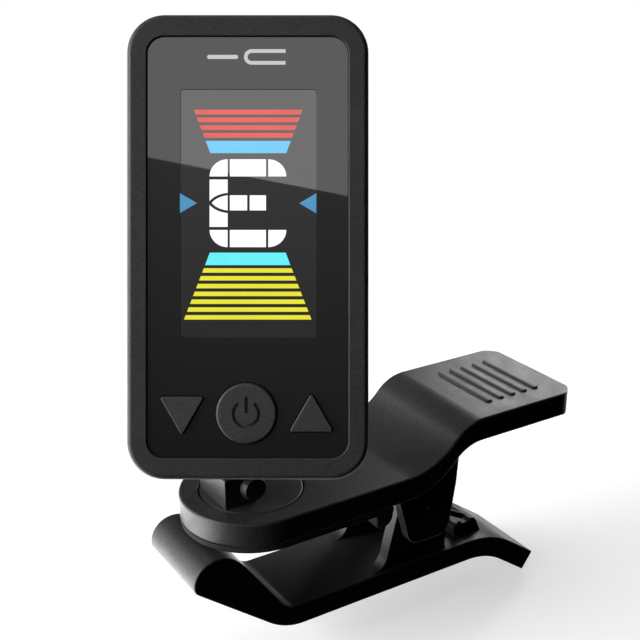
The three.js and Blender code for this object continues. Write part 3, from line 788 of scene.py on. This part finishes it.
def seam_tongue():
    """A thin wall inside the seam, so that no light passes between the two halves of the case."""
    width, height, corner = INNER
    bite, play, thick = 0.1, 0.1, 0.5
    foot = prism(rounded_rect(width + bite, height + bite, corner), SPLIT - 0.8, SPLIT - 0.2)
    wall = prism(rounded_rect(width - play, height - play, corner), SPLIT - 0.7, SPLIT + 0.35)
    middle_plan = rounded_rect(width - 2 * thick, height - 2 * thick, corner - thick)
    middle = prism(middle_plan, SPLIT - 2, SPLIT + 2)
    return cut(join(foot, wall), middle, *at_screws(POST_R + 0.12, 6, SPLIT))


def make_rear_cover():
    back = -HEAD_D
    neck = HEAD.inverted() @ NECK_POINT
    axle = HEAD.to_3x3().inverted() @ AXLE
    barrel_place = axis_place(axle, *neck)
    shell = cut(
        prism(case_plan(), back, SPLIT - 0.06, CASE_EDGE, SEAM_EDGE, steps=6),
        prism(rounded_rect(*INNER), back + 1.3, SPLIT + 1),
        box(HEAD_W + 2, HEAD_H, 2, 0, DOOR_Y + HEAD_H / 2, back + 0.85 - 1),
        rod(UP, 10.3, 6, 0, BATTERY_Y, back, 96),
    )
    block = prism(rounded_rect(4.6, 4.8, 0.6, neck.x, neck.y, 8), back - 4.0, back + 0.3, 0.3, 0)
    end = [(BARREL_R, 2.9), (BARREL_R - 0.08, 3.11), (BARREL_R - 0.3, 3.2)]
    barrel = turned([(r, -z) for r, z in end[::-1]] + end, barrel_place)
    body = join(shell, block, barrel, seam_tongue(), *at_screws(POST_R, 2.0, back + 2.05))
    cut(
        body,
        *at_screws(0.9, 12, back + 2),
        *at_screws(1.45, 3, back - 0.1, 32),
        turned([(BARREL_BORE_R, -5), (BARREL_BORE_R, 5)], barrel_place),
    )
    piece(body, "case_rear", "head", "shell", ["rear_cover"], HEAD)


def make_battery_door():
    back = -HEAD_D
    panel = prism(case_plan(), back, back + 0.8, 0.5, 0, steps=6)
    body = cut(panel, box(HEAD_W + 2, HEAD_H, 4, 0, DOOR_Y + 0.1 - HEAD_H / 2, back))
    ribs = []
    for i in range(DOOR_RIBS):
        outline = rounded_rect(7, 0.6, 0.28, 0, DOOR_Y + 2.4 + DOOR_RIB_PITCH * i, 6)
        ribs.append(prism(outline, back - 0.18, back + 0.3, 0.12, 0))
    foot = DOOR_Y + 8.2
    arrow = Outline(-1.3, foot).line((1.3, foot), (0, foot + 2.0))
    body = cut(join(body, *ribs), prism(arrow, back - 1, back + 0.2))
    piece(body, "battery_door_panel", "battery_door", "shell", ["battery_door"], HEAD)


def make_panel():
    plan = rounded_rect(PANEL_W - 0.06, PANEL_H - 0.06, PANEL_CORNER - 0.03, steps=14)
    body = cut(
        prism(plan, -1.0, PANEL_TOP, 0, 0.04, steps=2),
        prism(rounded_rect(LENS_W + 0.12, LENS_H + 0.12, 0.3, LENS_X, LCD_Y, 4), -2, 1),
        *button_holes(-2, 1),
    )
    piece(body, "panel_gloss", "head", "gloss", ["display_window"], HEAD)
    lens_plan = rounded_rect(LENS_W + 0.06, LENS_H + 0.06, 0.28, LENS_X, LCD_Y, 4)
    lens = prism(lens_plan, -0.95, PANEL_TOP, 0, 0.03, steps=2)
    piece(lens, "display_glass", "head", "glass", ["display_lens"], HEAD)


def make_button(kind):
    x, y = BUTTONS[kind]
    edge = 0.28 if kind == "power" else 0.14
    cap = prism(button_outline(kind), -1.9, 0.12, 0, edge, steps=6)
    flange = prism(button_outline(kind, 0.4), -2.35, -1.85)
    body = join(cap, flange, rod(UP, 0.8, 0.3, x, y, -2.45, 24))
    if kind == "power":
        start, end = 128, 412
        first = math.radians(start)
        ring = Outline(x + MARK_R * math.cos(first), y + MARK_R * math.sin(first))
        ring.arc(x, y, MARK_R, start, end, 60).arc(x, y, MARK_INNER_R, end, start, 60)
        bar = rounded_rect(0.36, 1.75, 0.17, x, y + 0.9, 6)
        body = cut(body, prism(ring, -0.12, 0.5), prism(bar, -0.12, 0.5))
    piece(body, f"{kind}_cap", f"{kind}_button", "button", [f"{kind}_button"], HEAD)


# ---- Display segments -----------------------------------------------------------------------


def plate(outline):
    """A segment: a thin plate that stands just proud of the panel."""
    return prism(outline, PANEL_TOP - 0.02, PANEL_TOP + 0.012)


def quad(*points):
    return Outline(*points[0]).line(*points[1:])


def rect(x0, y0, x1, y1):
    return quad((x0, y0), (x1, y0), (x1, y1), (x0, y1))


# Fans of bars: the middle, the half widths at the top and the bottom, and the heights of these
UPPER_FAN = (0.05, 5.61, 3.92, 14.2, 9.71)
LOWER_FAN = (0.0, 4.5, 6.58, -2.1, -7.48)
SHARP_FAN = (0.0, 3.92, 4.4, -0.56, -1.85)


def tapered(fan, top, bottom):
    """The bar of a fan between two heights."""
    x, top_half, bottom_half, fan_top, fan_bottom = fan

    def half(y):
        share = (fan_top - y) / (fan_top - fan_bottom)
        return top_half + share * (bottom_half - top_half)

    return plate(quad((x - half(bottom), bottom), (x + half(bottom), bottom),
                      (x + half(top), top), (x - half(top), top)))


def glyph():
    """The note letter, in the blocks of a segment display."""
    thick, corner_w = 1.77, 1.86
    outer, left, bar_left, bar_right, right = -3.94, -2.08, -1.85, 1.88, 2.12
    middle_low, middle_high = 3.8, 5.36

    def corner(x, side, edge, sign):
        inner = edge - sign * thick
        o = Outline(x, inner).line((x, edge))
        for i in range(1, 11):
            a = math.radians(9 * i)
            o.line((x + side * corner_w * math.sin(a), inner + sign * thick * math.cos(a)))
        return o

    parts = []
    for sign, edge in ((1, 9.08), (-1, 0.01)):
        parts.append(corner(left, -1, edge, sign))
        parts.append(rect(bar_left, edge - sign * thick, bar_right, edge))
        parts.append(corner(right, 1, edge, sign))
    upper = Outline(outer, 6.99).line((left, 6.99), (left, 5.62))
    lower = Outline(outer, 2.1).line((left, 2.1), (left, 3.52))
    middle = Outline(left, middle_high).curve(-3.2, 5.2, -3.72, 4.57, 8)
    parts.append(upper.curve(-3.3, 5.5, outer, 4.78, 8))
    parts.append(lower.curve(-3.3, 3.65, outer, 4.36, 8))
    parts.append(middle.curve(-3.2, 3.95, left, middle_low, 8))
    parts.append(rect(bar_left, middle_low, -0.06, middle_high))
    parts.append(rect(0.2, middle_low, bar_right, middle_high))
    return [plate(p) for p in parts]


def fork():
    """A tuning fork lying down, as a plain printed mark above the display. Its brightness is a painted glow
    of its own, standing in for printed ink lit by the lamps.
    """
    y, gap, thick = 19.65, 0.42, 0.38
    bend, tip = 0.4, 3.9
    stem = plate(rounded_rect(3.2, 0.42, 0.2, -2.6, y, 5))
    prongs = Outline(tip, y + gap)
    prongs.line((bend, y + gap)).arc(bend, y, gap, 90, 270, 14).line((tip, y - gap))
    prongs.line((tip, y - gap - thick), (bend, y - gap - thick))
    prongs.arc(bend, y, gap + thick, 270, 90, 20).line((tip, y + gap + thick))
    return [stem, plate(prongs)]


def make_display():
    red_tops = [14.2 - 0.8 * i for i in range(4)]
    yellow_tops = [-2.17 - 0.807 * i for i in range(7)]
    pieces = {
        "segments_red": ("red", [tapered(UPPER_FAN, top, top - 0.5) for top in red_tops]),
        "segments_yellow": ("yellow", [tapered(LOWER_FAN, top, top - 0.46) for top in yellow_tops]),
        "segment_flat_end": ("blue", [tapered(UPPER_FAN, 10.98, 9.71)]),
        "segment_sharp_end": ("cyan", [tapered(SHARP_FAN, -0.56, -1.85)]),
        "segments_in_tune": ("dim_blue", [
            plate(quad((-7.0, 3.53), (-5.24, 4.56), (-7.0, 5.57))),
            plate(quad((7.08, 3.5), (7.08, 5.57), (5.31, 4.54))),
        ]),
        "segments_note": ("lit", glyph()),
        # Printed mark given a painted glow in place of lit ink.
        "fork_mark": ("print", fork()),
    }
    for name, (look, plates) in pieces.items():
        piece(together(plates), name, "head", look, (), HEAD)


# ---- CAD pieces that show as they are -------------------------------------------------------


def finish_cad():
    """Gives every CAD node its material, and eases the edges of those that show. Lengths in metres."""
    for s in frame["record"]["subparts"]:
        node = NODES[s["node"]]
        node.data.materials.clear()
        node.data.materials.append(LOOKS[s["material_slot"]])
        if node.hide_render:
            continue
        weld = node.modifiers.new("weld", "WELD")
        weld.merge_threshold = 0.000002
        flat = node.modifiers.new("flat", "DECIMATE")
        flat.decimate_type = "DISSOLVE"
        flat.angle_limit = math.radians(2)
        ease = node.modifiers.new("ease", "BEVEL")
        ease.width = 0.00006
        ease.segments = 2
        ease.limit_method = "ANGLE"
        ease.angle_limit = math.radians(50)


# ---- Studio ---------------------------------------------------------------------------------

# Glows in the world. Each pair is where a smooth step starts and ends, along one part of the
# direction: +Y is behind the object, -X is the camera's left and +Z is up.
WORLD = {"behind": (-0.1, 0.4), "low": (-0.25, 0.2), "high_share": 0.04, "glow": 0.72,
         "left": (-0.9, -0.1), "left_behind": (-0.3, 0.1), "left_low": (0.3, 0.9), "left_glow": 3.6,
         "floor": (-0.5, 0.0), "floor_left": (0.3, 1.1), "floor_glow": 6.0}
# The floor fades to white between two distances in metres, and part of its light is its own.
FLOOR = {"fade": (0.06, 0.14), "own": 0.5, "half": 6.0, "drop": 0.0001}
# Strengths at the foot and at the top of the cards that the panel mirrors.
BRIGHT = (2.6, 2.6)
DIM = (0.15, 0.55)
# Area lights in metres: place, target, width, height and radiance.
LIGHTS = {
    "top_box": ((0.05, 0.12, 0.60), (0.0, 0.0, 0.02), 0.5, 0.5, 0.8),
    "key_box": ((-0.50, 0.08, 0.22), (0, 0, 0.03), 0.30, 0.30, 6.0),
    "lever_card": ((0.125, 0.085, 0.074), (0.034, -0.004, 0.019), 0.055, 0.055, 5.4),
}
# The camera that was fitted to the photograph: place in metres, degrees and lens in millimetres.
CAMERA = {"at": (-0.06304, -0.10216, 0.07933), "azimuth": -32.17, "elevation": 21.06, "lens": 63.39}


def studio_world():
    """White to the camera; to the object, a pale glow low down behind it and little in front."""
    world = bpy.data.worlds.new("studio")
    bpy.context.scene.world = world
    world.use_nodes = True
    n, links = world.node_tree.nodes, world.node_tree.links
    n.clear()
    out = n.new("ShaderNodeOutputWorld")
    mix = n.new("ShaderNodeMixShader")
    seen = n.new("ShaderNodeBackground")
    seen.inputs["Color"].default_value = (1, 1, 1, 1)
    lit = n.new("ShaderNodeBackground")
    path = n.new("ShaderNodeLightPath")
    split = n.new("ShaderNodeSeparateXYZ")
    where = n.new("ShaderNodeTexCoord")
    links.new(where.outputs["Generated"], split.inputs[0])

    def ramp(value, low, high, to_low, to_high):
        node = n.new("ShaderNodeMapRange")
        node.interpolation_type = "SMOOTHSTEP"
        node.inputs["From Min"].default_value = low
        node.inputs["From Max"].default_value = high
        node.inputs["To Min"].default_value = to_low
        node.inputs["To Max"].default_value = to_high
        links.new(value, node.inputs["Value"])
        return node.outputs["Result"]

    def maths(operation, a, b):
        node = n.new("ShaderNodeMath")
        node.operation = operation
        links.new(a, node.inputs[0])
        links.new(b, node.inputs[1])
        return node.outputs[0]

    behind = ramp(split.outputs["Y"], *WORLD["behind"], 0.0, WORLD["glow"])
    low = ramp(split.outputs["Z"], *WORLD["low"], 1.0, WORLD["high_share"])
    left = ramp(split.outputs["X"], *WORLD["left"], WORLD["left_glow"], 0.0)
    left_behind = ramp(split.outputs["Y"], *WORLD["left_behind"], 0.0, 1.0)
    left_low = ramp(split.outputs["Z"], *WORLD["left_low"], 1.0, 0.0)
    left = maths("MULTIPLY", maths("MULTIPLY", left, left_behind), left_low)
    floor = ramp(split.outputs["Z"], *WORLD["floor"], WORLD["floor_glow"], 0.0)
    floor = maths("MULTIPLY", floor, ramp(split.outputs["X"], *WORLD["floor_left"], 1.0, 0.0))
    low = maths("ADD", low, floor)
    strength = maths("ADD", maths("MULTIPLY", behind, low), left)
    links.new(strength, lit.inputs["Strength"])
    links.new(path.outputs["Is Camera Ray"], mix.inputs["Fac"])
    links.new(lit.outputs[0], mix.inputs[1])
    links.new(seen.outputs[0], mix.inputs[2])
    links.new(mix.outputs[0], out.inputs["Surface"])


def area_light(name, place, target, width, height, radiance):
    light = bpy.data.lights.new(name, "AREA")
    light.shape = "RECTANGLE"
    light.size, light.size_y = width, height
    light.energy = radiance * math.pi * width * height
    obj = bpy.data.objects.new(name, light)
    bpy.context.scene.collection.objects.link(obj)
    obj.location = place
    obj.rotation_mode = "QUATERNION"
    obj.rotation_quaternion = (Vector(target) - Vector(place)).to_track_quat("-Z", "Y")
    obj.visible_camera = False


def card(name, corners, heights, strengths):
    """A glowing card that shows only in mirrors. Its strength goes from one to another up the head."""
    up = HEAD.to_3x3() @ Vector((0, 1, 0))
    base = up.dot(HEAD.translation)
    bm = bmesh.new()
    bm.faces.new([bm.verts.new(0.001 * (HEAD @ p)) for p in corners])
    obj = from_bmesh(bm, name)
    s = bpy.data.materials.new(name)
    s.use_nodes = True
    nodes, links = s.node_tree.nodes, s.node_tree.links
    nodes.clear()
    out, emit = nodes.new("ShaderNodeOutputMaterial"), nodes.new("ShaderNodeEmission")
    links.new(emit.outputs[0], out.inputs[0])
    where, dot = nodes.new("ShaderNodeTexCoord"), nodes.new("ShaderNodeVectorMath")
    dot.operation = "DOT_PRODUCT"
    dot.inputs[1].default_value = up
    links.new(where.outputs["Object"], dot.inputs[0])
    fade = nodes.new("ShaderNodeMapRange")
    fade.inputs["From Min"].default_value = 0.001 * (base + heights[0])
    fade.inputs["From Max"].default_value = 0.001 * (base + heights[1])
    fade.inputs["To Min"].default_value = strengths[0]
    fade.inputs["To Max"].default_value = strengths[1]
    links.new(dot.outputs["Value"], fade.inputs["Value"])
    links.new(fade.outputs[0], emit.inputs["Strength"])
    obj.data.materials.append(s)
    obj.visible_camera = False
    obj.visible_shadow = False
    obj.visible_diffuse = False


def panel_cards():
    """Cards behind the camera that the glossy panel mirrors: bright above a slanting edge, dim below."""
    distance = 600.0
    x0, x1 = -14, 16
    bottom, fade_top, top = -23, 9.0, 30
    edge_left, edge_right = 10.0, 4.1
    eye = HEAD.inverted() @ (1000 * Vector(CAMERA["at"]))
    grow = (distance + eye.z) / eye.z

    def mirrored(u, v):
        """The place on the cards that the camera sees in the panel at a point of the head's front."""
        return Vector((eye.x + (u - eye.x) * grow, eye.y + (v - eye.y) * grow, distance))

    left, right = mirrored(x0, edge_left), mirrored(x1, edge_right)
    heights = (mirrored(0, bottom).y, mirrored(0, fade_top).y)
    card("bright_card", [left, right, mirrored(x1, top), mirrored(x0, top)], heights, BRIGHT)
    card("dim_card", [mirrored(x0, bottom), mirrored(x1, bottom), right, left], heights, DIM)


def floor_look():
    """Pale floor: part of its light is its own, so shadows stay soft, and it fades to white."""
    s = Shader("floor")
    away = s.nodes.new("ShaderNodeVectorMath")
    away.operation = "LENGTH"
    s.links.new(s.where, away.inputs[0])
    tone = s.blend(s.ranged(s.noise(9.0, 3.0), 0.0, 1.0), (0.88, 0.88, 0.88), (0.91, 0.91, 0.91))
    near = s.ranged(away.outputs["Value"], 0.0, 1.0, *FLOOR["fade"])
    s.to(s.blend(near, tone, (0.0, 0.0, 0.0)), "Base Color")
    s.to(s.ranged(away.outputs["Value"], FLOOR["own"], 1.0, *FLOOR["fade"]), "Emission Strength")
    s.to(s.ranged(s.noise(40.0, 2.0), 0.75, 0.9), "Roughness")
    s.set(Specular_IOR_Level=0.0, Emission_Color=(1, 1, 1, 1))
    return s.material


def make_studio():
    studio_world()
    bm = bmesh.new()
    half, level = FLOOR["half"], cad_box[0].z - FLOOR["drop"]
    corners = ((-half, -half), (half, -half), (half, half), (-half, half))
    bm.faces.new([bm.verts.new((x, y, level)) for x, y in corners])
    ground = from_bmesh(bm, "floor")
    ground.data.materials.append(floor_look())
    ground.visible_glossy = False
    ground.visible_diffuse = False
    for name, light in LIGHTS.items():
        area_light(name, *light)
    panel_cards()


def make_camera():
    camera = bpy.data.cameras.new("camera")
    camera.sensor_width = 36.0
    camera.lens = CAMERA["lens"]
    camera.clip_start, camera.clip_end = 0.005, 50.0
    obj = bpy.data.objects.new("camera", camera)
    bpy.context.scene.collection.objects.link(obj)
    azimuth, elevation = math.radians(CAMERA["azimuth"]), math.radians(CAMERA["elevation"])
    back = Vector((math.sin(azimuth) * math.cos(elevation), -math.cos(azimuth) * math.cos(elevation),
                   math.sin(elevation)))
    obj.location = CAMERA["at"]
    obj.rotation_mode = "QUATERNION"
    obj.rotation_quaternion = (-back).to_track_quat("-Z", "Y")
    bpy.context.scene.camera = obj


def colour_handling():
    view = bpy.context.scene.view_settings
    view.view_transform = "Standard"
    view.look = "None"
    view.exposure = 0.0
    view.gamma = 1.0


make_camera()
make_lower_jaw()
make_upper_jaw()
make_pad()
make_pivot_pin()
make_spring()
make_disc()
make_hinge_pin()
make_neck()
make_front_case()
make_rear_cover()
make_battery_door()
make_panel()
for kind in BUTTONS:
    make_button(kind)
make_display()
finish_cad()
make_studio()
colour_handling()
